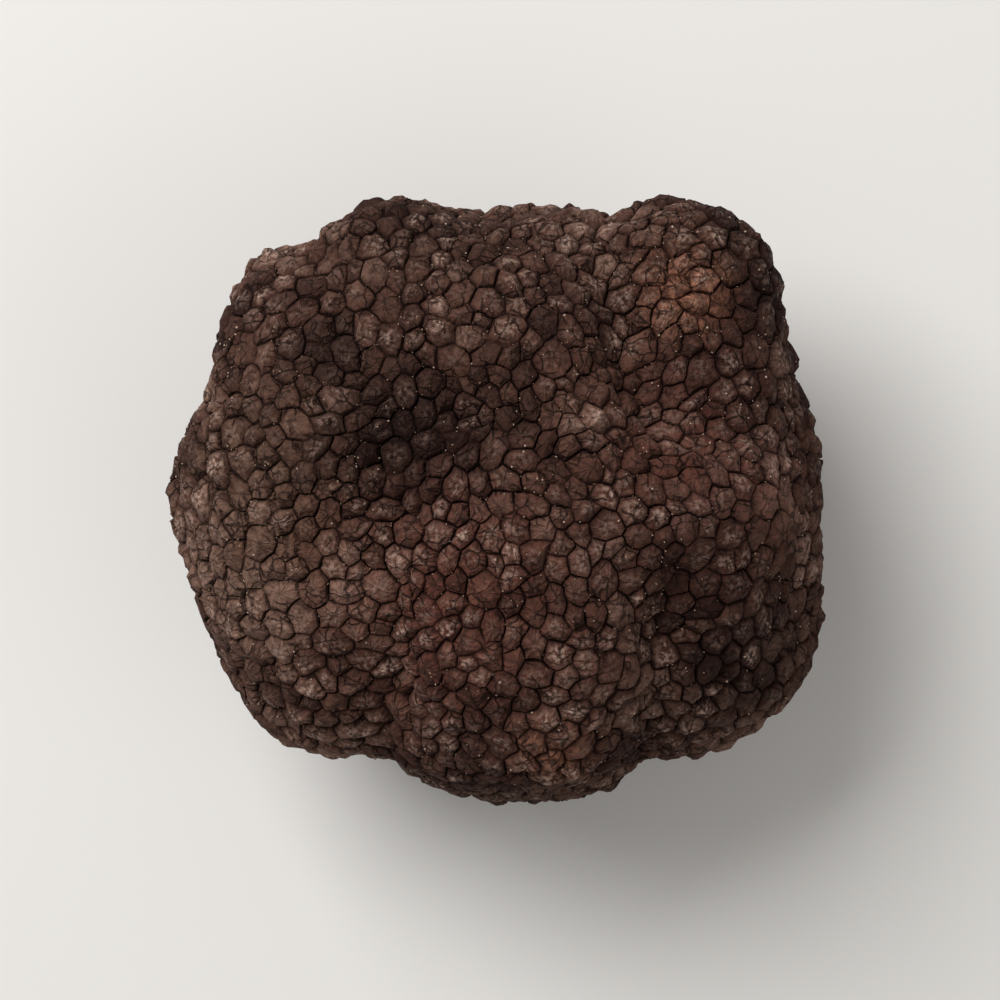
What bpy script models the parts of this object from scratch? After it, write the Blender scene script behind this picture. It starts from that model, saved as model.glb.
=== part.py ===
"""Black truffle: the knobbly fruiting body of a fungus that grows under the ground.

It grew as one piece, so it is one solid. The body is a rounded tuber with a few lobes, furrows
and dimples. Its skin is a mosaic of low warts with three to nine sides, each a small pyramid,
which meet in narrow grooves. It lies on a small flat spot.

+Z is up and X runs along the tuber's longest way. The origin is on the resting surface, below
the middle of the tuber. Lengths are in metres and angles in degrees.
"""

import math

import bmesh
import bpy
import numpy as np
from mathutils import Vector, noise

MM = 0.001

# Size of the whole tuber, warts included.
LENGTH = 65 * MM
WIDTH = 60 * MM
HEIGHT = 45 * MM

# The skin: the mean width and height of a wart, how much each may differ from its mean, as a
# share of it, and how far a tip may stand off the middle of its wart.
WART_WIDTH = 2.9 * MM
WART_HEIGHT = 0.8 * MM
WART_SIZE_SPREAD = 0.36
WART_HEIGHT_SPREAD = 0.35
TIP_OFF_CENTRE = 0.30 * MM

# How the warts find their places: the rounds in which they ease apart, how far a wart reaches
# for its neighbours and how far it moves in a round, both in wart widths, and the knots of the
# even net that the skin is measured on.
EASING_ROUNDS = 30
EASING_REACH = 1.25
EASING_STEP = 0.6
AREA_KNOTS = 4000
SEED = 21

# The flat spot that the tuber lies on is cut this deep into its underside.
FLAT_SPOT_DEPTH = 1.5 * MM

# Swellings and hollows: azimuth round from +X, elevation, height (a hollow is negative), spread.
SWELLINGS = (
    ("left lobe", 184, 24, 3.0 * MM, 30),
    ("upper left shoulder", 131, 10, 4.0 * MM, 20),
    ("upper right knob", 46, 14, 7.0 * MM, 16),
    ("lower right corner", -36, -7, 5.2 * MM, 19),
    ("lower left corner", -136, -4, 2.8 * MM, 18),
    ("right shoulder", -4, 38, 2.2 * MM, 18),
    ("belly", -84, 40, 2.4 * MM, 20),
    ("crown", 10, 72, 1.8 * MM, 22),
    ("crown dimple", 122, 66, -2.8 * MM, 11),
    ("neck below the knob", 36, 44, -2.4 * MM, 12),
    ("back hollow", 90, 4, -2.6 * MM, 13),
    ("front hollow", -98, -12, -1.2 * MM, 12),
    ("right side dimple", 8, -18, -2.2 * MM, 12),
    ("under lobe", 160, -36, 2.2 * MM, 20),
    ("root scar", -72, -42, -2.6 * MM, 11),
)

# Furrows: depth, half width and the directions (azimuth, elevation) that they run through.
FURROWS = (
    ("left furrow", 2.5 * MM, 7.0, ((127, 0), (148, 48), (205, 60), (240, 34), (244, -4), (250, -34))),
    ("right furrow", 1.9 * MM, 5.5, ((68, -14), (69, 22), (54, 40), (20, 48))),
    ("lower furrow", 1.6 * MM, 5.0, ((-24, 44), (-52, 30), (-62, 4), (-58, -26))),
    ("back furrow", 2.0 * MM, 6.0, ((26, -10), (50, -28), (84, -34), (112, -20))),
    ("left side furrow", 1.4 * MM, 5.0, ((188, 2), (170, -18), (140, -16))),
)

# Uneven growth: height of the swell and how many times it comes and goes over the radius.
SWELLS = ((1.4 * MM, 1.9), (0.9 * MM, 4.3), (0.35 * MM, 9.5))
SWELL_OFFSET = Vector((3.7, 1.2, 8.4))

# Spots where the warts are rubbed low: azimuth, elevation, spread. In the middle of one, a wart
# keeps this share of its height.
RUBBED_SPOTS = ((52, 45, 7), (-80, 10, 8), (-20, 40, 9), (200, 8, 9))
RUBBED_HEIGHT = 0.35

# Finish. Edges that turn by more than SHARP_EDGE degrees stay crisp.
SKIN_COLOUR = (0.047, 0.020, 0.015, 1.0)
SKIN_ROUGHNESS = 0.8
SHARP_EDGE = 24


def facing(azimuth, elevation):
    """The unit direction at an azimuth round from +X and an elevation above the horizon."""
    a, e = math.radians(azimuth), math.radians(elevation)
    return np.array((math.cos(a) * math.cos(e), math.sin(a) * math.cos(e), math.sin(e)))


def unit(vectors):
    """The same vectors at length one."""
    return vectors / np.linalg.norm(vectors, axis=-1, keepdims=True)


def turn_between(directions, other):
    """The angle, in degrees, between each direction and another one."""
    return np.degrees(np.arccos(np.clip(directions @ other, -1, 1)))


def bell(distance, spread):
    """One at no distance, falling smoothly to nearly nothing at twice the spread."""
    return np.exp(-((distance / spread) ** 2))


def turn_to_line(directions, start, end):
    """The angle, in degrees, between each direction and the nearest point of an arc."""
    along = np.clip((directions - start) @ (end - start) / ((end - start) @ (end - start)), 0, 1)
    nearest = unit(start + along[:, None] * (end - start))
    return np.degrees(np.arccos(np.clip(np.sum(directions * nearest, axis=1), -1, 1)))


def swell_at(direction):
    """The uneven growth of the tuber in one direction."""
    place = Vector(direction)
    return sum(
        height * noise.noise(place * times + SWELL_OFFSET, noise_basis="PERLIN_NEW")
        for height, times in SWELLS
    )


def reach(directions):
    """How far the tuber's skin lies from its middle in each direction, without the warts."""
    half_size = np.array((LENGTH, WIDTH, HEIGHT)) / 2
    distance = 1 / np.linalg.norm(directions / half_size, axis=1)
    for _, azimuth, elevation, height, spread in SWELLINGS:
        distance += height * bell(turn_between(directions, facing(azimuth, elevation)), spread)
    for _, depth, half_width, stops in FURROWS:
        points = [facing(*stop) for stop in stops]
        arcs = zip(points, points[1:])
        turn = np.min([turn_to_line(directions, start, end) for start, end in arcs], axis=0)
        distance -= depth * bell(turn, half_width)
    return distance + np.array([swell_at(direction) for direction in directions])


def on_skin(directions):
    """The points of the skin in these directions, without the warts."""
    return directions * reach(directions)[:, None]


def spiral(count):
    """Unit directions spread evenly over a sphere, along a spiral from pole to pole."""
    step = np.arange(count) + 0.5
    height = 1 - 2 * step / count
    turn = step * math.pi * (3 - math.sqrt(5))
    ring = np.sqrt(1 - height**2)
    return np.column_stack((ring * np.cos(turn), ring * np.sin(turn), height))


def net_over(directions):
    """A closed net of triangles whose knots are these unit directions."""
    net = bmesh.new()
    for direction in directions:
        net.verts.new(direction)
    bmesh.ops.convex_hull(net, input=net.verts)
    bmesh.ops.triangulate(net, faces=net.faces)
    return net


def skin_area():
    """The area of the skin without the warts, measured on an even net."""
    directions = spiral(AREA_KNOTS)
    net = net_over(directions)
    for knot, point in zip(net.verts, on_skin(directions)):
        knot.co = point
    area = sum(face.calc_area() for face in net.faces)
    net.free()
    return area


def wart_directions(random):
    """The direction of each wart's middle. They start on an even spiral, shaken, and ease
    apart along the skin until the large ones have more room than the small ones."""
    count = round(skin_area() / (WART_WIDTH**2 * math.sqrt(3) / 2))
    size = 1 + WART_SIZE_SPREAD * random.uniform(-1, 1, count)
    wanted = WART_WIDTH * EASING_REACH * (size[:, None] + size) / 2
    shake = WART_WIDTH / (LENGTH + WIDTH) * 2
    directions = unit(spiral(count) + shake * random.uniform(-1, 1, (count, 3)))
    for _ in range(EASING_ROUNDS):
        points = on_skin(directions)
        apart = points[:, None] - points
        distance = np.linalg.norm(apart, axis=2) + np.eye(count)
        push = np.clip(1 - distance / wanted, 0, None) * (1 - np.eye(count))
        move = np.sum(apart / distance[..., None] * push[..., None], axis=1)
        directions = unit(points + move * WART_WIDTH * EASING_STEP)
    return directions


def mosaic(directions):
    """The cells round the warts' middles, as the corners' directions and one ring of corners
    for each cell. A corner lies between three neighbouring middles."""
    net = net_over(directions)
    net.faces.index_update()
    corners = unit(np.array([face.calc_center_median() for face in net.faces]))
    rings = []
    for middle in net.verts:
        outward = middle.co.normalized()
        side = outward.orthogonal().normalized()
        front = outward.cross(side)

        def bearing(index):
            away = Vector(corners[index]) - outward
            return math.atan2(away.dot(front), away.dot(side))

        rings.append(sorted((face.index for face in middle.link_faces), key=bearing))
    net.free()
    return corners, rings


def wart_height(direction, random):
    """How far one wart's tip stands above its cell: lower where the skin is rubbed."""
    height = WART_HEIGHT * (1 + WART_HEIGHT_SPREAD * random.uniform(-1, 1))
    for azimuth, elevation, spread in RUBBED_SPOTS:
        rubbed = float(bell(turn_between(direction, facing(azimuth, elevation)), spread))
        height *= 1 - rubbed * (1 - RUBBED_HEIGHT)
    return height


def raise_warts(skin, random):
    """Turns each cell of the skin into a low pyramid with its tip a little off centre."""
    tips = bmesh.ops.poke(skin, faces=skin.faces, center_mode="MEAN")["verts"]
    skin.normal_update()
    for tip in tips:
        outward = tip.normal.copy()
        sideways = outward.cross(Vector(random.normal(size=3))).normalized()
        height = wart_height(np.array(tip.co.normalized()), random)
        tip.co += outward * height + sideways * TIP_OFF_CENTRE * random.uniform(0, 1)


def fit_to_size(skin):
    """Gives the tuber its exact size, stands it on the origin and flattens the spot it lies on."""
    points = np.array([vert.co for vert in skin.verts])
    low, high = points.min(axis=0), points.max(axis=0)
    wanted = np.array((LENGTH, WIDTH, HEIGHT + FLAT_SPOT_DEPTH))
    points = (points - (low + high) / 2) * wanted / (high - low)
    points[:, 2] += HEIGHT - wanted[2] / 2
    points[:, 2] = np.maximum(points[:, 2], 0)
    for vert, point in zip(skin.verts, points):
        vert.co = point


def skin_material():
    """Dark brown, dry and rough all over."""
    material = bpy.data.materials.new("truffle_skin")
    material.use_nodes = True
    shader = material.node_tree.nodes["Principled BSDF"]
    shader.inputs["Base Color"].default_value = SKIN_COLOUR
    shader.inputs["Roughness"].default_value = SKIN_ROUGHNESS
    shader.inputs["Metallic"].default_value = 0.0
    material.diffuse_color = SKIN_COLOUR
    return material


def make_truffle():
    """The whole truffle as one closed mesh."""
    random = np.random.default_rng(SEED)
    directions = wart_directions(random)
    corners, rings = mosaic(directions)
    skin = bmesh.new()
    places = [skin.verts.new(point) for point in on_skin(corners)]
    for ring in rings:
        skin.faces.new([places[index] for index in ring])
    raise_warts(skin, random)
    fit_to_size(skin)
    bmesh.ops.triangulate(skin, faces=skin.faces)
    bmesh.ops.recalc_face_normals(skin, faces=skin.faces)
    mesh = bpy.data.meshes.new("truffle")
    skin.to_mesh(mesh)
    skin.free()
    mesh.shade_smooth()
    mesh.set_sharp_from_angle(angle=math.radians(SHARP_EDGE))
    mesh.materials.append(skin_material())
    truffle = bpy.data.objects.new("truffle", mesh)
    bpy.context.scene.collection.objects.link(truffle)
    return truffle


def main():
    for old in list(bpy.data.objects):
        bpy.data.objects.remove(old)
    make_truffle()


if __name__ == "__main__":
    main()
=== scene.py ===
"""Black truffle: the finished skin of a knobbly fungus, with its warts, grooves and fine grains.

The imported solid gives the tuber's form and the place of each wart. This script cuts narrow
grooves between the warts, splits the warts into facets, gives the skin its colours and scatters
fine grains over it. Lengths are in metres.
"""

import math

import bmesh
import bpy
import numpy as np
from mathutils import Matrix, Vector


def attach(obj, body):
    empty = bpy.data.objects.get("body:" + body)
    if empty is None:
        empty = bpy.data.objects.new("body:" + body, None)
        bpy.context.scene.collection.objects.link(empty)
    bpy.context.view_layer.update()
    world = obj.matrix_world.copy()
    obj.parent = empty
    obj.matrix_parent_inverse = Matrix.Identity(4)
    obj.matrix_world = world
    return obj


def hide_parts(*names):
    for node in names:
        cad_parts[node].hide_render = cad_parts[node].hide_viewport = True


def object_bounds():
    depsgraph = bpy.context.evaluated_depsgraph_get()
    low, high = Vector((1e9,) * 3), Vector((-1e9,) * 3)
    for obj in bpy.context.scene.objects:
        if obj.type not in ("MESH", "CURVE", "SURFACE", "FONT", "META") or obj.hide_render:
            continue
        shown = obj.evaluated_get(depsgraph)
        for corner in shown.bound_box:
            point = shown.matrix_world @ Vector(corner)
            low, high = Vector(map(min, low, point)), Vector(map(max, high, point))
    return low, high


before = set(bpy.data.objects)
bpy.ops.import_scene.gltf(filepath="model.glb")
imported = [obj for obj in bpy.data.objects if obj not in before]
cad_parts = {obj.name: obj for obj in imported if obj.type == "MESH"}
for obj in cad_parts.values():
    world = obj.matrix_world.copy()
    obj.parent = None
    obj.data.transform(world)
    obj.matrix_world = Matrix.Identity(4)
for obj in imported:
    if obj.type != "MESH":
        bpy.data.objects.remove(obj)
CAD_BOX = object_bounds()

bl_info = {
    "name": "Black truffle",
    "version": (1, 0, 0),
    "blender": (4, 5, 0),
    "location": "3D View > Sidebar > Truffle",
    "description": "Makes the warty skin of a black truffle on its packed solid",
    "category": "Add Mesh",
}

MM = 0.001
SEED = 7

# Blender's names for the nodes used most.
MATH = "ShaderNodeMath"
VECTOR_MATH = "ShaderNodeVectorMath"
MAP_RANGE = "ShaderNodeMapRange"
NOISE = "ShaderNodeTexNoise"
VORONOI = "ShaderNodeTexVoronoi"
COMPARE = "FunctionNodeCompare"
STORED = "GeometryNodeInputNamedAttribute"

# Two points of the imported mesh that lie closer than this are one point.
MERGE_WITHIN = 0.001 * MM

# Points this close to the floor belong to the flat spot that the truffle lies on.
FLAT_BELOW = 0.01 * MM

# Points lower than this wander less, so that they don't cross the flat spot.
STEADY_BELOW = 1.5 * MM

# Each triangle of the solid is split into four this many times.
SPLITS = 2

# The flat spot has only a few large triangles, so it is first cut into squares of this width.
# Points of it that then lie closer than the second value are joined, so that none is a sliver.
FLAT_STEP = 1 * MM
SLIVER_WIDTH = 0.15 * MM

# Rounds of blurring that turn the normals into the way out of the tuber, without its warts.
BLUR_ROUNDS = 30

# A facet stands out where its middle is nearer than this, in facet widths, and is sunk beyond.
FACET_MIDDLE = 0.5

# How uneven the mosaic of pressed warts is: nought makes it a grid of squares.
MOSAIC_RANDOMNESS = 0.75

# Levels of detail in the noise that shapes the grooves and bends the cracks, and in the noise
# that clusters the grains.
LINE_DETAIL = 1.0
CLUSTER_DETAIL = 3.0

# The noise that sets how deep a groove is runs from the shallowest to the deepest between these.
SHALLOW_NOISE = 0.35
DEEP_NOISE = 0.62

# How much of the painted shade of the deepest grooves the shallowest ones have.
SHALLOW_DARKNESS = 0.5

# Patches of another tone on the upper side: tone, place in mm from the middle, spread, strength.
PATCHES = (
    ("scuff", 17.8, 20.2, 3.6, 0.9),  # below the knob
    ("scuff", 4.5, -25.5, 3.5, 0.5),  # on the front
    ("grey", -24.0, -2.0, 13.0, 0.5),  # greyer left lobe
    ("dark", 24.0, 22.0, 6.5, 0.55),  # knob
    ("dark", -9.0, 7.0, 7.0, 1.0),  # dimple in the crown
    ("dark", -3.0, 6.0, 5.0, 0.8),  # right of the dimple
    ("dark", 23.0, 9.0, 7.0, 0.55),  # below the knob
    ("dark", 19.0, -5.0, 8.0, 0.5),  # right flank
    ("dark", 25.0, -16.0, 8.0, 0.7),  # lower right corner
    ("dark", 0.0, -29.0, 7.0, 0.6),  # front rim
    ("dark", -8.0, 28.0, 8.0, 0.5),  # upper rim
    ("red", -7.0, -8.0, 13.0, 0.7),  # middle
    ("red", 22.0, 3.0, 11.0, 0.7),  # right side
)
TONES = ("scuff", "grey", "dark", "red")

# Noise in the skin: width and levels of detail. Real pits are finer, and are drawn as wide as
# they need to be to show.
NOISES = {
    "tone patch": (14 * MM, 2.0),
    "blotch": (0.7 * MM, 3.0),
    "worn spot": (0.45 * MM, 3.0),
    "worn region": (7 * MM, 2.0),
    "cracked patch": (2.5 * MM, 2.0),
    "pit": (0.35 * MM, 4.0),
}

# Ramps: the two ends of a value, and what each end is turned into.
RAMP_ENDS = ("From Min", "From Max", "To Min", "To Max")
RAMPS = {
    name: dict(zip(RAMP_ENDS, ends))
    for name, ends in {
        "top dip": (0.5, 1.0, 0.0, -1.0),
        "pressed rise": (0.0, 0.45, 0.0, 1.0),
        "pressed wall": (0.0, 0.25, -1.0, 0.0),
        "grains low down": (0.2, 1.0, 1.0, 0.35),
        "grain cluster": (0.46, 0.62, 0.12, 1.0),
        "frost": (0.42, 0.62, 0.0, 1.0),
        "streak": (0.34, 0.66, 0.0, 1.0),
        "tone patch": (0.36, 0.64, 0.0, 0.65),
        "brown": (0.05, 0.55, 0.0, 1.0),
        "light": (0.6, 1.1, 0.0, 1.0),
        "blotch": (0.38, 0.62, 0.0, 1.0),
        "flank": (0.0, 0.4, 0.0, 1.0),
        "shade": (0.4, 2.3, 0.8, 0.0),
        "worn top": (0.12, 0.8, 0.0, 1.0),
        "worn spot": (0.42, 0.64, 0.0, 1.0),
        "worn wart": (0.0, 1.0, 0.1, 0.85),
        "worn region": (0.4, 0.6, 0.12, 1.0),
        "black": (0.0, 0.6, 0.97, 0.35),
        "crack": (0.01, 0.08, 1.0, 0.0),
        "cracked patch": (0.42, 0.56, 0.0, 1.0),
        "groove": (0.1, 0.95, 0.9, 0.0),
        "roughness": (0.0, 1.0, 0.9, 0.55),
    }.items()
}

# Streaks: how far apart two warts' streaks lie in the noise, how fine they are, their detail.
STREAK_STEP = 60.0
STREAK_FINENESS = 3.2
STREAK_DETAIL = 3.0

# How much of its tone a wart has of its own.
OWN_TONE = 0.45

# The strength of each tone in a blotch, and the share of it that is left between blotches.
TONE_STRENGTHS = {"red": 0.85, "grey": 0.75, "scuff": 0.9}
BETWEEN_BLOTCHES = 0.45

# How much the streaks and the flanks count in the shading, where the blotches count one.
STREAK_WEIGHT = 1.4
FLANK_WEIGHT = 0.6

# Fine cracks: their spacing, the width and reach of the noise that bends them, and their
# darkness, which is painted shade.
CRACK_SPACING = 1.6 * MM
BEND_WIDTH = 1.2 * MM
BEND_REACH = 0.9 * MM
CRACK_DARKNESS = 0.75

# The height of the roughness, and how much the streaks and the cracks count in it, where the pits
# count one.
ROUGH_HEIGHT = 0.28 * MM
STREAK_HEIGHT = 0.6
CRACK_HEIGHT = -0.7

# Dry skin reflects little, so that the grooves stay dark.
SKIN_REFLECTION = 0.1

# A spot of grains of this width leans to soil or to frost.
FROST_WIDTH = 3 * MM
FROST_DETAIL = 3.0
GRAIN_ROUGHNESS = 0.6
FLOOR_ROUGHNESS = 0.9

# Place and width of the two lights, and the linear colour of the light from all around.
KEY_PLACE = (-0.37, 0.39, 0.58)
KEY_WIDTH = 0.5
FILL_PLACE = (0.55, -0.35, 0.40)
FILL_WIDTH = 0.7
WORLD_COLOUR = (0.95, 0.93, 0.90, 1)


def linear(code):
    """The linear red, green and blue of an sRGB hex colour."""
    shares = [int(code[place : place + 2], 16) / 255 for place in (1, 3, 5)]
    return [s / 12.92 if s <= 0.04045 else ((s + 0.055) / 1.055) ** 2.4 for s in shares]


def pick(sockets, key):
    """The socket with this number, name or identifier, or the first one in use."""
    if isinstance(key, int):
        return sockets[key]
    used = [socket for socket in sockets if socket.enabled]
    if key is None:
        return used[0] if used else None
    return next(socket for socket in used if key in (socket.name, socket.identifier))


def add(tree, kind, settings=None, inputs=None, output=None):
    """Adds a node with its settings and links, and gives the output asked for."""
    node = tree.nodes.new(kind)
    for name, value in (settings or {}).items():
        setattr(node, name, value)
    for key, value in (inputs or {}).items():
        socket = pick(node.inputs, key)
        if isinstance(value, bpy.types.NodeSocket):
            tree.links.new(value, socket)
        else:
            socket.default_value = value
    return pick(node.outputs, output)


def length(name, about, value):
    """A length that the user can change."""
    return bpy.props.FloatProperty(
        name=name, description=about, default=value, min=0, precision=5, unit="LENGTH"
    )


def share(name, about, value):
    """A share of a whole that the user can change."""
    return bpy.props.FloatProperty(
        name=name, description=about, default=value, min=0, max=1, subtype="FACTOR"
    )


def colour(name, about, code):
    """A colour that the user can change."""
    return bpy.props.FloatVectorProperty(
        name=name, description=about, default=linear(code), size=3, min=0, max=1, subtype="COLOR"
    )


class SkinSettings(bpy.types.PropertyGroup):
    """The sizes and colours of the skin."""

    crowding: bpy.props.FloatProperty(
        name="Crowding",
        description="How far points crowd down to the rim of a wart, which narrows its groove",
        default=1.6,
        min=1,
        max=3,
    )
    groove_depth: length("Groove depth", "How deep the deepest grooves are cut", 0.48 * MM)
    groove_share: share("Groove share", "Share of the way up a wart that the groove takes", 0.11)
    shallowest: share("Shallowest", "Share of that depth that the shallowest grooves have", 0.25)
    patch_size: length("Patch size", "Width of a patch of shallow or deep grooves", 3.2 * MM)
    fullness: share("Fullness", "How far a wart swells out from a pyramid to a dome", 0.10)
    top_dip: length("Top dip", "How far the top of a wart is sunk", 0.26 * MM)
    waviness: length("Waviness", "How far the grooves wander from straight lines", 0.65 * MM)
    wave_size: length("Wave size", "Width of one wave of a groove", 2.2 * MM)
    facet_height: length("Facet height", "Height of the facets that a wart is split into", 0.42 * MM)
    facet_size: length("Facet size", "Width of a facet", 1.0 * MM)
    pressed_width: length("Pressed width", "Width of a wart pressed flat underneath", 2.7 * MM)
    crease_angle: bpy.props.FloatProperty(
        name="Crease angle",
        description="Edges that turn by more than this stay crisp",
        default=math.radians(26),
        min=0,
        subtype="ANGLE",
    )
    # The next colour is also painted shade in the grooves and cracks.
    groove_colour: colour("Groove", "Bottom of the grooves", "#120503")
    # The dark wart colour is also painted shade on the flanks of the warts.
    dark_colour: colour("Dark wart", "The blackest warts", "#271612")
    brown_colour: colour("Brown wart", "Most warts", "#4f352b")
    light_colour: colour("Light wart", "The palest warts", "#7a5e52")
    red_colour: colour("Red wart", "Warts where the skin is reddish", "#613329")
    grey_colour: colour("Grey wart", "Warts where the skin is greyish", "#665343")
    # The next colour is also painted glints on the tips, beside real wear.
    wear_and_glint_colour: colour("Worn and glinting top", "Tops that are worn pale", "#c4a596")
    scuff_colour: colour("Scuff", "Skin that is rubbed pale and pinkish", "#b0765c")


class GrainSettings(bpy.types.PropertyGroup):
    """The size, number and colours of the fine grains on the skin."""

    density: bpy.props.FloatProperty(
        name="Density",
        description="Grains to a square metre where they lie thickest",
        default=1_100_000,
        min=0,
    )
    cluster_size: length("Cluster size", "Width of a cluster of grains", 5 * MM)
    smallest: length("Smallest", "Half the width of the smallest grain", 0.03 * MM)
    largest: length("Largest", "Half the width of the largest grain", 0.15 * MM)
    soil_colour: colour("Soil", "Grains of soil", "#6a4f3c")
    ice_colour: colour("Ice", "Grains of frost", "#a48d7c")


class StageSettings(bpy.types.PropertyGroup):
    """The floor, the lights and the camera."""

    floor_colour: colour("Floor", "The plain pale floor", "#d2d0cd")
    floor_size: length("Floor size", "Width of the floor", 6.0)
    key_power: bpy.props.FloatProperty(
        name="Key light", description="Power of the soft light", default=7.6, unit="POWER"
    )
    fill_power: bpy.props.FloatProperty(
        name="Fill light", description="Power of the light opposite", default=1.3, unit="POWER"
    )
    world_strength: bpy.props.FloatProperty(
        name="World", description="Strength of the light from all around", default=0.40, min=0
    )
    lens: bpy.props.FloatProperty(
        name="Lens", description="Focal length in millimetres", default=150, min=20
    )
    fill_of_view: share("Fill of view", "Share of the picture's width that the truffle takes", 0.70)


def flat_spot(skin):
    """The faces of the flat spot that the truffle lies on."""
    return {face for face in skin.faces if all(vert.co.z < FLAT_BELOW for vert in face.verts)}


def walk_over_warts(skin):
    """The tip of the wart that each triangle belongs to. A triangle has one tip and two points
    on its wart's rim. The highest point of all is a tip, and a step across a rim edge leads to
    the next one. The flat spot has no warts, so the walk stays off it."""
    flat = flat_spot(skin)
    tip_of = {}
    waiting = [max(skin.verts, key=lambda vert: vert.co.z)]
    while waiting:
        tip = waiting.pop()
        for face in tip.link_faces:
            if face in flat or face in tip_of:
                continue
            tip_of[face] = tip
            rim = next(edge for edge in face.edges if tip not in edge.verts)
            beyond = next(other for other in rim.link_faces if other != face)
            if beyond not in flat and beyond not in tip_of:
                waiting.append(next(vert for vert in beyond.verts if vert not in rim.verts))
    return tip_of


def mark_warts(skin):
    """Marks each tip with one and with its height over its rim, and gives each wart a random
    number, which all its triangles carry with the place of their tip."""
    random = np.random.default_rng(SEED)
    crest = skin.verts.layers.float.new("crest")
    lift = skin.verts.layers.float.new("lift")
    wart = skin.faces.layers.float.new("wart")
    tip_place = skin.faces.layers.float_vector.new("tip")
    numbers = {}
    for face, tip in sorted(walk_over_warts(skin).items(), key=lambda pair: pair[0].index):
        if tip not in numbers:
            numbers[tip] = random.uniform()
            rim = [edge.other_vert(tip).co for edge in tip.link_edges]
            middle = sum(rim, Vector()) / len(rim)
            tip[crest] = 1
            tip[lift] = max(0, (tip.co - middle).dot(tip.normal))
        face[wart] = numbers[tip]
        face[tip_place] = tip.co


def mark_tones(skin):
    """Marks how strong each tone is at each point, from the patches on the upper side."""
    layers = {tone: skin.verts.layers.float.new(tone) for tone in TONES}
    for tone, across, up, spread, strength in PATCHES:
        place = Vector((across * MM, up * MM))
        middle = min(
            (vert for vert in skin.verts if vert.normal.z > 0),
            key=lambda vert: (vert.co.xy - place).length,
        ).co
        for vert in skin.verts:
            near = math.exp(-(((vert.co - middle).length / (spread * MM)) ** 2))
            vert[layers[tone]] = max(vert[layers[tone]], strength * near)


def spot_geometry(skin):
    """The points, edges and faces of the flat spot, each in the mesh's own order."""
    flat = flat_spot(skin)
    faces = [face for face in skin.faces if face in flat]
    edges = dict.fromkeys(edge for face in faces for edge in face.edges)
    verts = dict.fromkeys(vert for face in faces for vert in face.verts)
    return list(verts), list(edges), faces


def cut_flat_spot(skin):
    """Cuts the flat spot into squares, so that it splits as fine as its grooves need."""
    _, edges, faces = spot_geometry(skin)
    inside = [edge for edge in edges if set(faces).issuperset(edge.link_faces)]
    bmesh.ops.dissolve_edges(skin, edges=inside)
    verts, edges, faces = spot_geometry(skin)
    low = [min(vert.co[axis] for vert in verts) for axis in (0, 1)]
    high = [max(vert.co[axis] for vert in verts) for axis in (0, 1)]
    part = [*verts, *edges, *faces]
    for axis, across in enumerate((Vector((1, 0, 0)), Vector((0, 1, 0)))):
        for place in np.arange(low[axis] + FLAT_STEP, high[axis], FLAT_STEP):
            part = bmesh.ops.bisect_plane(
                skin, geom=part, dist=MERGE_WITHIN, plane_co=across * place, plane_no=across
            )["geom"]
    bmesh.ops.remove_doubles(skin, verts=spot_geometry(skin)[0], dist=SLIVER_WIDTH)
    bmesh.ops.triangulate(skin, faces=[face for face in skin.faces if len(face.verts) > 3])


def mark_flat_spot(skin):
    """Marks the points inside the flat spot."""
    flat = flat_spot(skin)
    in_spot = skin.verts.layers.float.new("in_spot")
    for vert in skin.verts:
        vert[in_spot] = flat.issuperset(vert.link_faces)


def bare_skin():
    """The solid as one closed mesh, marked and split fine enough to carry the relief."""
    skin = bmesh.new()
    skin.from_mesh(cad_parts["truffle"].data)
    bmesh.ops.remove_doubles(skin, verts=skin.verts, dist=MERGE_WITHIN)
    skin.normal_update()
    skin.faces.index_update()
    mark_warts(skin)
    mark_tones(skin)
    cut_flat_spot(skin)
    for _ in range(SPLITS):
        bmesh.ops.subdivide_edges(skin, edges=skin.edges, cuts=1, use_grid_fill=True)
    mark_flat_spot(skin)
    mesh = bpy.data.meshes.new("truffle_skin")
    skin.to_mesh(mesh)
    skin.free()

    # The solid's own normals would shade the relief as if it were still faceted.
    solid_normals = mesh.attributes.get("custom_normal")
    if solid_normals:
        mesh.attributes.remove(solid_normals)
    return mesh


def open_tree(name, sizes):
    """A Geometry Nodes tree with a named input for each size, and its input node's sockets."""
    tree = bpy.data.node_groups.new(name, "GeometryNodeTree")
    tree.interface.new_socket("Geometry", in_out="INPUT", socket_type="NodeSocketGeometry")
    tree.interface.new_socket("Geometry", in_out="OUTPUT", socket_type="NodeSocketGeometry")
    for size in sizes:
        tree.interface.new_socket(size, in_out="INPUT", socket_type="NodeSocketFloat")
    given = tree.nodes.new("NodeGroupInput").outputs
    return tree, given


def close_tree(tree, geometry, material):
    """Ends a tree in Realize Instances and Set Material."""
    real = add(tree, "GeometryNodeRealizeInstances", inputs={"Geometry": geometry})
    done = add(tree, "GeometryNodeSetMaterial", inputs={"Geometry": real, "Material": material})
    add(tree, "NodeGroupOutput", inputs={"Geometry": done})


def grow(name, start, tree, settings):
    """A plain mesh object: what the tree makes of the starting mesh. Each size that the tree
    asks for comes from the setting of the same name."""
    piece = bpy.data.objects.new(name, start)
    bpy.context.scene.collection.objects.link(piece)
    modifier = piece.modifiers.new(tree.name, "NODES")
    modifier.node_group = tree
    for item in tree.interface.items_tree:
        if item.in_out == "INPUT" and item.socket_type == "NodeSocketFloat":
            modifier[item.identifier] = getattr(settings, item.name.lower().replace(" ", "_"))
    graph = bpy.context.evaluated_depsgraph_get()
    made = bpy.data.meshes.new_from_object(
        piece.evaluated_get(graph), preserve_all_data_layers=True, depsgraph=graph
    )
    if not made.polygons:
        raise RuntimeError(f"{tree.name} made no faces for {name}")
    piece.modifiers.remove(modifier)
    piece.data = made
    made.name = name
    return piece


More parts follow.
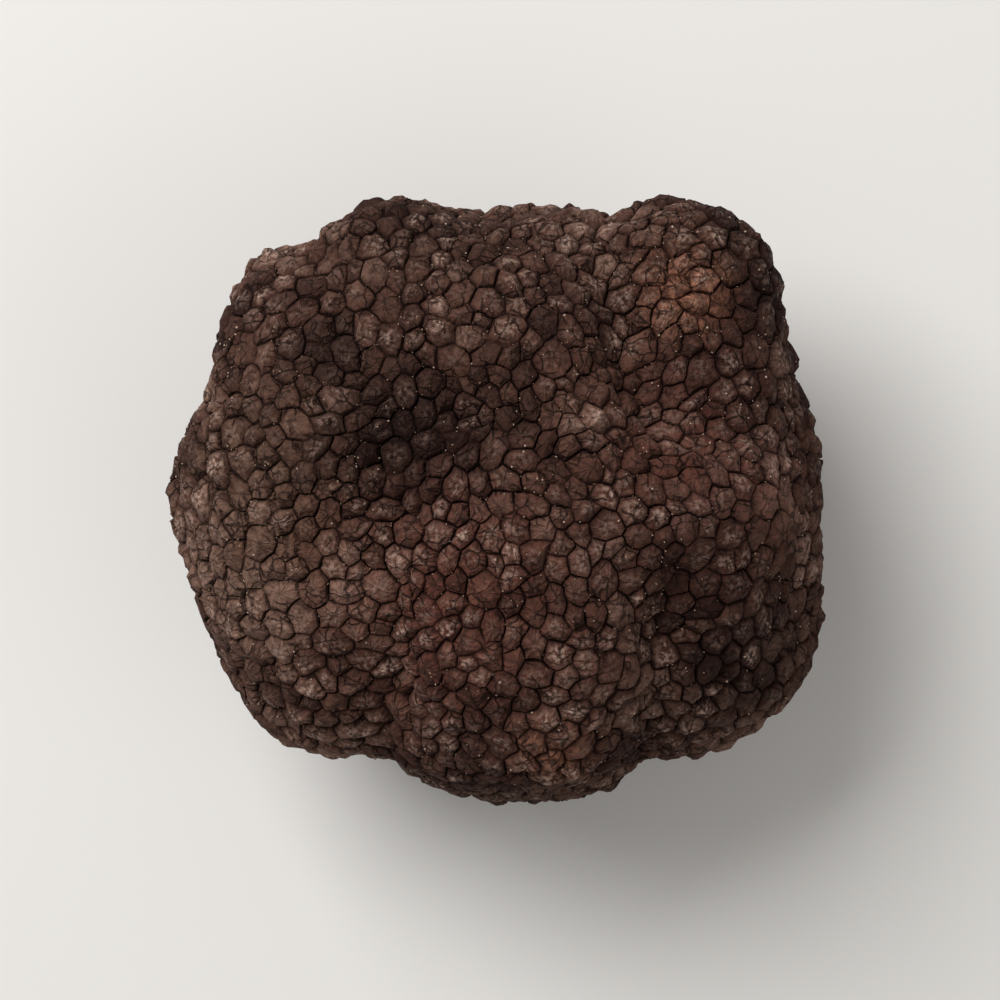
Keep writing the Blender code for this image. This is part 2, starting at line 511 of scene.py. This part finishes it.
def relief_tree(material):
    """Cuts narrow, wandering grooves between the warts, splits the warts into facets, and cuts
    the outlines of warts that are pressed flat into the flat spot. Crest is nought in a groove
    and one on a tip, and runs evenly between them."""
    widths = ("Patch Size", "Wave Size", "Facet Size", "Pressed Width")
    heights = ("Groove Depth", "Top Dip", "Waviness", "Facet Height")
    others = ("Crowding", "Groove Share", "Shallowest", "Fullness", "Crease Angle")
    tree, given = open_tree("Wart relief", (*widths, *heights, *others))
    place = add(tree, "GeometryNodeInputPosition")
    scale = {
        name: add(tree, MATH, {"operation": "DIVIDE"}, {0: 1.0, 1: given[name]}) for name in widths
    }
    crest, lift, wart, in_spot = (
        add(tree, STORED, {"data_type": "FLOAT"}, {"Name": name}, "Attribute")
        for name in ("crest", "lift", "wart", "in_spot")
    )
    tip = add(tree, STORED, {"data_type": "FLOAT_VECTOR"}, {"Name": "tip"}, "Attribute")

    # Points crowd down to the rim, so that the first row of them makes a narrow groove. Rise is
    # how far up the wart a point then lies.
    rise = add(tree, MATH, {"operation": "POWER"}, {0: crest, 1: given["Crowding"]})
    from_tip = add(tree, VECTOR_MATH, {"operation": "SUBTRACT"}, {0: place, 1: tip}, "Vector")
    way_down = add(tree, MATH, {"operation": "SUBTRACT"}, {0: 1.0, 1: rise})
    even_way = add(tree, MATH, {"operation": "SUBTRACT"}, {0: 1.0, 1: crest})
    stretch = add(tree, MATH, {"operation": "DIVIDE"}, {0: way_down, 1: even_way})
    stretch = add(tree, MATH, {"operation": "SUBTRACT"}, {0: stretch, 1: 1.0})
    crowd = add(
        tree, VECTOR_MATH, {"operation": "SCALE"}, {"Vector": from_tip, "Scale": stretch}, "Vector"
    )
    outward = add(
        tree,
        "GeometryNodeBlurAttribute",
        {"data_type": "FLOAT_VECTOR"},
        {"Value": add(tree, "GeometryNodeInputNormal"), "Iterations": BLUR_ROUNDS},
    )
    outward = add(tree, VECTOR_MATH, {"operation": "NORMALIZE"}, {0: outward}, "Vector")

    # The groove's wall rises over the first part of the way up the wart.
    wall = add(
        tree,
        MAP_RANGE,
        {"interpolation_type": "SMOOTHSTEP"},
        {"Value": rise, "From Max": given["Groove Share"], "To Min": -1.0, "To Max": 0.0},
    )

    # Some patches have deep grooves, others mere cracks.
    patch = add(
        tree, NOISE, inputs={"Vector": place, "Scale": scale["Patch Size"], "Detail": LINE_DETAIL}
    )
    depth_share = add(
        tree,
        MAP_RANGE,
        inputs={
            "Value": patch,
            "From Min": SHALLOW_NOISE,
            "From Max": DEEP_NOISE,
            "To Min": given["Shallowest"],
        },
    )
    depth = add(tree, MATH, {"operation": "MULTIPLY"}, {0: depth_share, 1: given["Groove Depth"]})
    height = add(tree, MATH, {"operation": "MULTIPLY"}, {0: wall, 1: depth})

    # A dome stands over the pyramid by its height times the way that is left to the tip, and the
    # top of it is sunk.
    dome = add(tree, MATH, {"operation": "MULTIPLY"}, {0: lift, 1: way_down})
    dip = add(
        tree,
        MAP_RANGE,
        {"interpolation_type": "SMOOTHSTEP"},
        {"Value": rise, **RAMPS["top dip"]},
    )

    # The facets meet in creases and fade out towards the grooves.
    hollow = add(
        tree, VORONOI, {"feature": "F1"}, {"Vector": place, "Scale": scale["Facet Size"]}, "Distance"
    )
    facet = add(tree, MATH, {"operation": "SUBTRACT"}, {0: FACET_MIDDLE, 1: hollow})
    on_wart = add(tree, MATH, {"operation": "ADD"}, {0: wall, 1: 1.0})
    facet = add(tree, MATH, {"operation": "MULTIPLY"}, {0: facet, 1: on_wart})
    for form, size in ((dome, "Fullness"), (dip, "Top Dip"), (facet, "Facet Height")):
        height = add(tree, MATH, {"operation": "MULTIPLY_ADD"}, {0: form, 1: given[size], 2: height})

    # Noise moves the points to all sides, so that the grooves wander. It is read where the points
    # lie once they have crowded down, because the rows of a wall would cross otherwise. It lies
    # about a half, so it is centred and doubled.
    crowded = add(tree, VECTOR_MATH, {"operation": "ADD"}, {0: place, 1: crowd}, "Vector")
    wave = add(
        tree,
        NOISE,
        inputs={"Vector": crowded, "Scale": scale["Wave Size"], "Detail": LINE_DETAIL},
        output="Color",
    )
    wave = add(tree, VECTOR_MATH, {"operation": "SUBTRACT"}, {0: wave, 1: (0.5, 0.5, 0.5)}, "Vector")
    doubled = add(tree, MATH, {"operation": "MULTIPLY"}, {0: given["Waviness"], 1: 2.0})
    wander = add(
        tree, VECTOR_MATH, {"operation": "SCALE"}, {"Vector": wave, "Scale": doubled}, "Vector"
    )

    # The flat spot's own points don't wander, so those near the floor wander less.
    up = add(tree, "ShaderNodeSeparateXYZ", inputs={"Vector": place}, output="Z")
    free = add(tree, MAP_RANGE, inputs={"Value": up, "From Max": STEADY_BELOW})
    strayed = add(
        tree, VECTOR_MATH, {"operation": "SCALE"}, {"Vector": wander, "Scale": free}, "Vector"
    )
    move = add(
        tree,
        VECTOR_MATH,
        {"operation": "MULTIPLY_ADD"},
        {0: outward, 1: height, 2: strayed},
        "Vector",
    )
    move = add(tree, VECTOR_MATH, {"operation": "ADD"}, {0: move, 1: crowd}, "Vector")

    # The solid's flat spot has no warts, so the cells of a flat mosaic stand for warts that are
    # pressed flat there.
    wandered = add(tree, VECTOR_MATH, {"operation": "ADD"}, {0: place, 1: wander}, "Vector")
    mosaic = {
        "Vector": wandered,
        "Scale": scale["Pressed Width"],
        "Randomness": MOSAIC_RANDOMNESS,
    }
    to_rim, cell, cell_number = (
        add(tree, VORONOI, {"feature": feature, "voronoi_dimensions": "2D"}, mosaic, wanted)
        for feature, wanted in (
            ("DISTANCE_TO_EDGE", "Distance"),
            ("F1", "Position"),
            ("F1", "Color"),
        )
    )
    cell_number = add(tree, "ShaderNodeSeparateXYZ", inputs={"Vector": cell_number}, output="X")
    from_cell = add(tree, VECTOR_MATH, {"operation": "SUBTRACT"}, {0: wandered, 1: cell}, "Vector")
    pressed_rise = add(tree, MAP_RANGE, inputs={"Value": to_rim, **RAMPS["pressed rise"]})
    pressed_wall = add(
        tree,
        MAP_RANGE,
        {"interpolation_type": "SMOOTHSTEP"},
        {"Value": pressed_rise, **RAMPS["pressed wall"]},
    )
    sink = add(tree, MATH, {"operation": "MULTIPLY"}, {0: pressed_wall, 1: depth})
    sink = add(tree, MATH, {"operation": "MULTIPLY"}, {0: sink, 1: -1.0})
    sink = add(tree, "ShaderNodeCombineXYZ", inputs={"Z": sink})

    # A shallow groove also gets less painted shade than a deep one.
    plain = add(
        tree,
        MAP_RANGE,
        inputs={
            "Value": depth_share,
            "From Min": given["Shallowest"],
            "To Min": SHALLOW_DARKNESS,
        },
    )
    marks = (
        ("relief", "FLOAT", "POINT", wall, pressed_wall),
        ("rise", "FLOAT", "POINT", rise, pressed_rise),
        ("wart", "FLOAT", "FACE", wart, cell_number),
        ("from_tip", "FLOAT_VECTOR", "CORNER", from_tip, from_cell),
    )
    kept = given["Geometry"]
    pressed = add(tree, COMPARE, {"operation": "GREATER_THAN"}, {"A": in_spot, "B": 0.5})
    for name, kind, domain, on_solid, on_flat in marks:
        value = add(
            tree,
            "GeometryNodeSwitch",
            {"input_type": kind.removeprefix("FLOAT_")},
            {"Switch": pressed, "False": on_solid, "True": on_flat},
        )
        if name == "relief":
            value = add(tree, MATH, {"operation": "MULTIPLY_ADD"}, {0: value, 1: plain, 2: 1.0})
        kept = add(
            tree,
            "GeometryNodeStoreNamedAttribute",
            {"data_type": kind, "domain": domain},
            {"Geometry": kept, "Name": name, "Value": value},
        )

    # The flat spot stays flat but for its grooves, and nothing sinks below the floor.
    off_floor = add(tree, COMPARE, {"operation": "GREATER_THAN"}, {"A": up, "B": FLAT_BELOW})
    moved = kept
    for chosen, way in ((off_floor, move), (pressed, sink)):
        moved = add(
            tree,
            "GeometryNodeSetPosition",
            inputs={"Geometry": moved, "Selection": chosen, "Offset": way},
        )
    above = add(
        tree,
        VECTOR_MATH,
        {"operation": "MAXIMUM"},
        {0: add(tree, "GeometryNodeInputPosition"), 1: (-1.0, -1.0, 0.0)},
        "Vector",
    )
    stood = add(tree, "GeometryNodeSetPosition", inputs={"Geometry": moved, "Position": above})
    smooth = add(tree, "GeometryNodeSetShadeSmooth", inputs={"Geometry": stood})
    turn = add(tree, "GeometryNodeInputMeshEdgeAngle", output="Unsigned Angle")
    crease = add(tree, COMPARE, {"operation": "GREATER_THAN"}, {"A": turn, "B": given["Crease Angle"]})
    creased = add(
        tree,
        "GeometryNodeSetShadeSmooth",
        {"domain": "EDGE"},
        {"Geometry": smooth, "Selection": crease, "Shade Smooth": False},
    )
    close_tree(tree, creased, material)
    return tree


def grain_tree(material):
    """Scatters small half-sunk lumps over the skin, in clusters, most of them low on the warts."""
    tree, given = open_tree("Fine grains", ("Density", "Cluster Size", "Smallest", "Largest"))
    place = add(tree, "GeometryNodeInputPosition")
    relief = add(tree, STORED, {"data_type": "FLOAT"}, {"Name": "relief"}, "Attribute")
    low_down = add(tree, MAP_RANGE, inputs={"Value": relief, **RAMPS["grains low down"]})
    density = add(tree, MATH, {"operation": "MULTIPLY"}, {0: low_down, 1: given["Density"]})
    scale = add(tree, MATH, {"operation": "DIVIDE"}, {0: 1.0, 1: given["Cluster Size"]})
    cluster = add(tree, NOISE, inputs={"Vector": place, "Scale": scale, "Detail": CLUSTER_DETAIL})
    cluster = add(tree, MAP_RANGE, inputs={"Value": cluster, **RAMPS["grain cluster"]})
    density = add(tree, MATH, {"operation": "MULTIPLY"}, {0: density, 1: cluster})
    points = add(
        tree,
        "GeometryNodeDistributePointsOnFaces",
        inputs={"Mesh": given["Geometry"], "Density": density, "Seed": SEED},
        output="Points",
    )

    # A grain reaches no further than the largest size, so one that lies higher than that is clear
    # of the floor.
    up = add(tree, "ShaderNodeSeparateXYZ", inputs={"Vector": place}, output="Z")
    clear = add(tree, COMPARE, {"operation": "GREATER_THAN"}, {"A": up, "B": given["Largest"]})
    lump = add(
        tree, "GeometryNodeMeshIcoSphere", inputs={"Radius": 1.0, "Subdivisions": 1}, output="Mesh"
    )

    # Each way across a grain has its own size, so that grains are shards and not beads.
    least, most = (
        add(tree, "ShaderNodeCombineXYZ", inputs={axis: given[name] for axis in "XYZ"})
        for name in ("Smallest", "Largest")
    )
    whole_turn = (math.tau, math.tau, math.tau)
    size, turn = (
        add(tree, "FunctionNodeRandomValue", {"data_type": "FLOAT_VECTOR"}, span, "Value")
        for span in (
            {"Min": least, "Max": most, "Seed": SEED + 1},
            {"Max": whole_turn, "Seed": SEED + 2},
        )
    )
    lumps = add(
        tree,
        "GeometryNodeInstanceOnPoints",
        inputs={
            "Points": points,
            "Selection": clear,
            "Instance": lump,
            "Rotation": turn,
            "Scale": size,
        },
    )
    close_tree(tree, lumps, material)
    return tree


def open_material(name):
    """A new material, its node tree and its shader."""
    material = bpy.data.materials.new(name)
    material.use_nodes = True
    tree = material.node_tree
    return material, tree, tree.nodes["Principled BSDF"]


def peridium_material(skin):
    """Truffle peridium, grown in warts and brushed clean: matt, dark brown and mottled, nearly
    black with painted shade in the grooves and on the flanks of the warts, streaked down from each
    tip, paler and a little smoother where the tops are worn, with painted glints on them too."""
    material, tree, shader = open_material("brushed_truffle_peridium")
    place = add(tree, "ShaderNodeTexCoord", output="Object")
    mark = {
        name: add(tree, "ShaderNodeAttribute", {"attribute_name": name}, output="Fac")
        for name in ("relief", "rise", "wart", *TONES)
    }
    noise = {
        name: add(tree, NOISE, inputs={"Vector": place, "Scale": 1 / width, "Detail": detail})
        for name, (width, detail) in NOISES.items()
    }
    spread = {
        name: add(tree, MAP_RANGE, inputs={"Value": noise[name], **RAMPS[name]})
        for name in ("tone patch", "blotch", "worn spot", "worn region", "cracked patch")
    }

    # Streaks run down each wart from its tip. The wart's number gives each wart its own.
    down = add(tree, "ShaderNodeAttribute", {"attribute_name": "from_tip"}, output="Vector")
    down = add(tree, VECTOR_MATH, {"operation": "NORMALIZE"}, {0: down}, "Vector")
    own = add(tree, MATH, {"operation": "MULTIPLY"}, {0: mark["wart"], 1: STREAK_STEP})
    streak = add(
        tree,
        NOISE,
        {"noise_dimensions": "4D"},
        {"Vector": down, "W": own, "Scale": STREAK_FINENESS, "Detail": STREAK_DETAIL},
    )
    streak = add(tree, MAP_RANGE, inputs={"Value": streak, **RAMPS["streak"]})

    # The skin is painted in coats, each with the share that it covers, on the blackest warts'
    # colour. Wide patches shift the warts together from black to brown and on to pale.
    tone = add(
        tree,
        MATH,
        {"operation": "MULTIPLY_ADD"},
        {0: mark["wart"], 1: OWN_TONE, 2: spread["tone patch"]},
    )
    coats = [
        (add(tree, MAP_RANGE, inputs={"Value": tone, **RAMPS["brown"]}), skin.brown_colour),
        (add(tree, MAP_RANGE, inputs={"Value": tone, **RAMPS["light"]}), skin.light_colour),
    ]

    # Blotches break up each tone, so that no patch has a clean edge.
    for name, most in TONE_STRENGTHS.items():
        broken = add(
            tree,
            MAP_RANGE,
            inputs={"Value": spread["blotch"], "To Min": BETWEEN_BLOTCHES * most, "To Max": most},
        )
        strength = add(tree, MATH, {"operation": "MULTIPLY"}, {0: mark[name], 1: broken})
        coats.append((strength, getattr(skin, f"{name}_colour")))

    # Painted shade: the hollows between streaks and the flanks of the warts are darker.
    flank = add(tree, MAP_RANGE, inputs={"Value": mark["rise"], **RAMPS["flank"]})
    lit = spread["blotch"]
    for form, weight in ((streak, STREAK_WEIGHT), (flank, FLANK_WEIGHT)):
        lit = add(tree, MATH, {"operation": "MULTIPLY_ADD"}, {0: form, 1: weight, 2: lit})
    shade = add(tree, MAP_RANGE, inputs={"Value": lit, **RAMPS["shade"]})
    coats.append((shade, skin.dark_colour))

    # Painted glints and wear make the tips pale in small spots, some warts and some regions more than
    # others.
    own_wear_and_glint = add(tree, MATH, {"operation": "FRACT"}, {0: own})
    own_wear_and_glint = add(tree, MAP_RANGE, inputs={"Value": own_wear_and_glint, **RAMPS["worn wart"]})
    wear_and_glint = add(tree, MAP_RANGE, inputs={"Value": mark["rise"], **RAMPS["worn top"]})
    for part in (spread["worn spot"], own_wear_and_glint, spread["worn region"]):
        wear_and_glint = add(tree, MATH, {"operation": "MULTIPLY"}, {0: wear_and_glint, 1: part})
    coats.append((wear_and_glint, skin.wear_and_glint_colour))

    # Black patches keep paler tips.
    black = add(tree, MAP_RANGE, inputs={"Value": wear_and_glint, **RAMPS["black"]})
    black = add(tree, MATH, {"operation": "MULTIPLY"}, {0: mark["dark"], 1: black})
    coats.append((black, skin.groove_colour))

    # Fine cracks, bent by noise, split the larger warts in places.
    bend = add(
        tree,
        NOISE,
        inputs={"Vector": place, "Scale": 1 / BEND_WIDTH, "Detail": LINE_DETAIL},
        output="Color",
    )
    bent = add(
        tree,
        VECTOR_MATH,
        {"operation": "MULTIPLY_ADD"},
        {0: bend, 1: (BEND_REACH, BEND_REACH, BEND_REACH), 2: place},
        "Vector",
    )
    cracks = add(
        tree,
        VORONOI,
        {"feature": "DISTANCE_TO_EDGE"},
        {"Vector": bent, "Scale": 1 / CRACK_SPACING},
        "Distance",
    )
    cracks = add(tree, MAP_RANGE, inputs={"Value": cracks, **RAMPS["crack"]})
    cracks = add(tree, MATH, {"operation": "MULTIPLY"}, {0: cracks, 1: spread["cracked patch"]})

    # Painted shade: the grooves and cracks are darkened towards the groove colour.
    in_groove = add(tree, MAP_RANGE, inputs={"Value": mark["relief"], **RAMPS["groove"]})
    in_crack = add(tree, MATH, {"operation": "MULTIPLY"}, {0: cracks, 1: CRACK_DARKNESS})
    deep = add(tree, MATH, {"operation": "MAXIMUM"}, {0: in_groove, 1: in_crack})
    coats.append((deep, skin.groove_colour))
    skin_colour = (*skin.dark_colour, 1)
    for cover, paint in coats:
        skin_colour = add(
            tree,
            "ShaderNodeMix",
            {"data_type": "RGBA"},
            {"Factor_Float": cover, "A_Color": skin_colour, "B_Color": (*paint, 1)},
        )

    # Pits, streaks and cracks roughen the skin and catch the light.
    rough = noise["pit"]
    for form, weight in ((cracks, CRACK_HEIGHT), (streak, STREAK_HEIGHT)):
        rough = add(tree, MATH, {"operation": "MULTIPLY_ADD"}, {0: form, 1: weight, 2: rough})
    bump = add(
        tree, "ShaderNodeBump", inputs={"Height": rough, "Strength": 1.0, "Distance": ROUGH_HEIGHT}
    )
    roughness = add(tree, MAP_RANGE, inputs={"Value": wear_and_glint, **RAMPS["roughness"]})
    tree.links.new(skin_colour, shader.inputs["Base Color"])
    tree.links.new(roughness, shader.inputs["Roughness"])
    tree.links.new(bump, shader.inputs["Normal"])
    shader.inputs["Specular IOR Level"].default_value = SKIN_REFLECTION
    return material


def grain_material(grains):
    """Dried soil and frost: tiny matt grains that show as pale specks."""
    material, tree, shader = open_material("soil_and_frost_grains")
    place = add(tree, "ShaderNodeTexCoord", output="Object")
    lean = add(
        tree, NOISE, inputs={"Vector": place, "Scale": 1 / FROST_WIDTH, "Detail": FROST_DETAIL}
    )
    lean = add(tree, MAP_RANGE, inputs={"Value": lean, **RAMPS["frost"]})
    paint = add(
        tree,
        "ShaderNodeMix",
        {"data_type": "RGBA"},
        {
            "Factor_Float": lean,
            "A_Color": (*grains.soil_colour, 1),
            "B_Color": (*grains.ice_colour, 1),
        },
    )
    tree.links.new(paint, shader.inputs["Base Color"])
    shader.inputs["Roughness"].default_value = GRAIN_ROUGHNESS
    return material


def floor_material(paint):
    """Matt painted board: plain and pale, so that only the truffle draws the eye."""
    material, _, shader = open_material("matt_painted_board")
    shader.inputs["Base Color"].default_value = (*paint, 1)
    shader.inputs["Roughness"].default_value = FLOOR_ROUGHNESS
    return material


def add_light(name, place, aim, width, power):
    """A square area light that points at a place."""
    lamp = bpy.data.lights.new(name, "AREA")
    lamp.size = width
    lamp.energy = power
    light = bpy.data.objects.new(name, lamp)
    light.location = place
    light.rotation_euler = (aim - Vector(place)).to_track_quat("-Z", "Y").to_euler()
    bpy.context.scene.collection.objects.link(light)


class TRUFFLE_OT_skin(bpy.types.Operator):
    """Make the truffle's skin, with its warts, grooves and facets"""

    bl_idname = "truffle.skin"
    bl_label = "Skin"

    def execute(self, context):
        skin = context.scene.truffle_skin_settings
        piece = grow("truffle_skin", bare_skin(), relief_tree(peridium_material(skin)), skin)
        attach(piece, "root")
        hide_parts("truffle")
        return {"FINISHED"}


class TRUFFLE_OT_grains(bpy.types.Operator):
    """Scatter fine grains of soil and frost over the skin"""

    bl_idname = "truffle.grains"
    bl_label = "Grains"

    def execute(self, context):
        grains = context.scene.truffle_grain_settings
        skin = bpy.data.objects["truffle_skin"].data
        piece = grow("fine_grains", skin.copy(), grain_tree(grain_material(grains)), grains)
        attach(piece, "root")
        return {"FINISHED"}


class TRUFFLE_OT_stage(bpy.types.Operator):
    """Set up the floor, the soft light and the camera above the truffle"""

    bl_idname = "truffle.stage"
    bl_label = "Stage"

    def execute(self, context):
        stage = context.scene.truffle_stage_settings
        low, high = CAD_BOX
        middle = (low + high) / 2
        half = stage.floor_size / 2
        corners = [(-half, -half, 0), (half, -half, 0), (half, half, 0), (-half, half, 0)]
        mesh = bpy.data.meshes.new("floor")
        mesh.from_pydata(corners, [], [(0, 1, 2, 3)])
        mesh.materials.append(floor_material(stage.floor_colour))
        floor = bpy.data.objects.new("floor", mesh)
        context.scene.collection.objects.link(floor)

        add_light("key light", KEY_PLACE, middle, KEY_WIDTH, stage.key_power)
        add_light("fill light", FILL_PLACE, middle, FILL_WIDTH, stage.fill_power)
        world = bpy.data.worlds.new("studio")
        world.use_nodes = True
        background = world.node_tree.nodes["Background"].inputs
        background["Color"].default_value = WORLD_COLOUR
        background["Strength"].default_value = stage.world_strength
        context.scene.world = world
        context.scene.view_settings.view_transform = "Standard"

        camera = bpy.data.cameras.new("camera")
        camera.lens = stage.lens
        width = (high.x - low.x) / stage.fill_of_view
        view = bpy.data.objects.new("camera", camera)
        view.location = (middle.x, middle.y, high.z + width * camera.lens / camera.sensor_width)
        context.scene.collection.objects.link(view)
        context.scene.camera = view
        return {"FINISHED"}


class TRUFFLE_PT_panel(bpy.types.Panel):
    """Lists the pieces of the truffle with their settings"""

    bl_label = "Truffle"
    bl_idname = "TRUFFLE_PT_panel"
    bl_space_type = "VIEW_3D"
    bl_region_type = "UI"
    bl_category = "Truffle"

    def draw(self, context):
        for kind, settings in GROUPS.items():
            box = self.layout.box()
            box.operator(f"truffle.{kind}")
            group = getattr(context.scene, f"truffle_{settings}_settings")
            for name in group.__annotations__:
                box.prop(group, name)


# Each operator, and the group of settings that it reads.
GROUPS = {"skin": "skin", "grains": "grain", "stage": "stage"}

CLASSES = (
    SkinSettings,
    GrainSettings,
    StageSettings,
    TRUFFLE_OT_skin,
    TRUFFLE_OT_grains,
    TRUFFLE_OT_stage,
    TRUFFLE_PT_panel,
)


def register():
    for kind in CLASSES:
        bpy.utils.register_class(kind)
    scene = bpy.types.Scene
    scene.truffle_skin_settings = bpy.props.PointerProperty(type=SkinSettings)
    scene.truffle_grain_settings = bpy.props.PointerProperty(type=GrainSettings)
    scene.truffle_stage_settings = bpy.props.PointerProperty(type=StageSettings)


def unregister():
    del bpy.types.Scene.truffle_stage_settings
    del bpy.types.Scene.truffle_grain_settings
    del bpy.types.Scene.truffle_skin_settings
    for kind in reversed(CLASSES):
        bpy.utils.unregister_class(kind)


def main():
    register()
    bpy.ops.truffle.skin()
    bpy.ops.truffle.grains()
    bpy.ops.truffle.stage()


if __name__ == "__main__":
    main()
